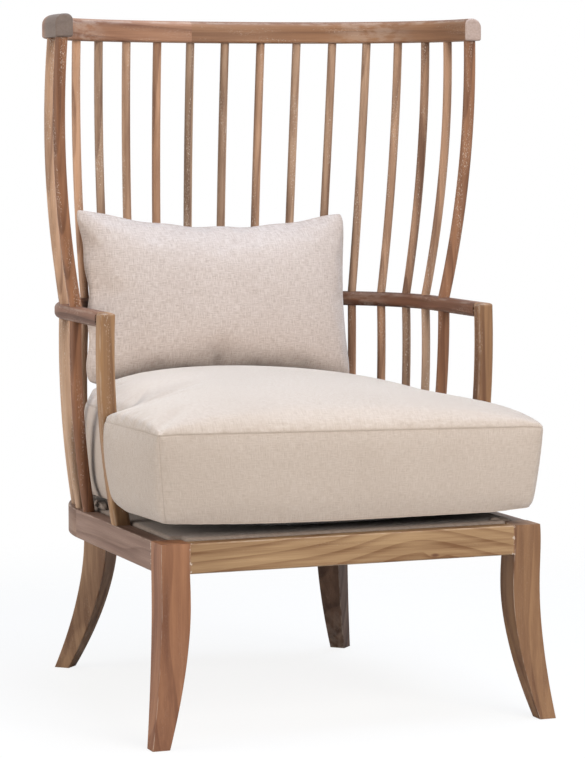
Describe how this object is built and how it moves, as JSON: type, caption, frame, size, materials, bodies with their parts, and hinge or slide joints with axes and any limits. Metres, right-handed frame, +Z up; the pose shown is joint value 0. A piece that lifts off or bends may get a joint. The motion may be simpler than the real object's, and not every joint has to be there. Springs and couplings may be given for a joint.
{
  "type": "windsor chair",
  "caption": "High-backed wooden lounge armchair with a curved spindle back, bent arm bow and crest, splayed legs, a loose T-shaped seat cushion and a loose back pillow.",
  "frame": {"origin": "on the floor, at the middle of the part's outer box", "axes": "+Z up, the front of the chair faces -Y, +X to the right of a person who looks at its front"},
  "size_m": [0.76, 0.775, 1.144],
  "materials": {
    "wood": "weathered and lightly limed, matt",
    "deck_board": "plain sheet wood",
    "deck_cloth": "plain woven cloth",
    "seat_linen": "natural linen weave",
    "pillow_linen": "natural linen weave"
  },
  "bodies": {
    "frame": {"arm_back": "wood", "arm_left": "wood", "arm_post_left": "wood", "arm_post_right": "wood", "arm_right": "wood", "crest_left": "wood", "crest_right": "wood", "deck_board": "deck_board", "deck_cloth": "deck_cloth", "front_leg_left": "wood", "front_leg_right": "wood", "front_rail": "wood", "lower_end_post_left": "wood", "lower_end_post_right": "wood", "lower_spindle_left_1": "wood", "lower_spindle_left_2": "wood", "lower_spindle_left_3": "wood", "lower_spindle_left_4": "wood", "lower_spindle_left_5": "wood", "lower_spindle_left_6": "wood", "lower_spindle_left_7": "wood", "lower_spindle_left_8": "wood", "lower_spindle_right_1": "wood", "lower_spindle_right_2": "wood", "lower_spindle_right_3": "wood", "lower_spindle_right_4": "wood", "lower_spindle_right_5": "wood", "lower_spindle_right_6": "wood", "lower_spindle_right_7": "wood", "lower_spindle_right_8": "wood", "rear_leg_left": "wood", "rear_leg_right": "wood", "rear_rail_centre": "wood", "rear_rail_left": "wood", "rear_rail_right": "wood", "side_rail_left": "wood", "side_rail_right": "wood", "upper_end_post_left": "wood", "upper_end_post_right": "wood", "upper_spindle_left_1": "wood", "upper_spindle_left_2": "wood", "upper_spindle_left_3": "wood", "upper_spindle_left_4": "wood", "upper_spindle_left_5": "wood", "upper_spindle_left_6": "wood", "upper_spindle_left_7": "wood", "upper_spindle_left_8": "wood", "upper_spindle_right_1": "wood", "upper_spindle_right_2": "wood", "upper_spindle_right_3": "wood", "upper_spindle_right_4": "wood", "upper_spindle_right_5": "wood", "upper_spindle_right_6": "wood", "upper_spindle_right_7": "wood", "upper_spindle_right_8": "wood"},
    "seat": {"seat_cushion": "seat_linen"},
    "pillow_body": {"pillow": "pillow_linen"}
  },
  "joints": [
    {"name": "seat_lift", "type": "slide", "parent": "frame", "child": "seat", "axis": [0, -0.7071, 0.7071], "range_m": [0, 0.7]},
    {"name": "pillow_lift", "type": "slide", "parent": "seat", "child": "pillow_body", "axis": [0, -0.7071, 0.7071], "range_m": [0, 0.5]}
  ]
}
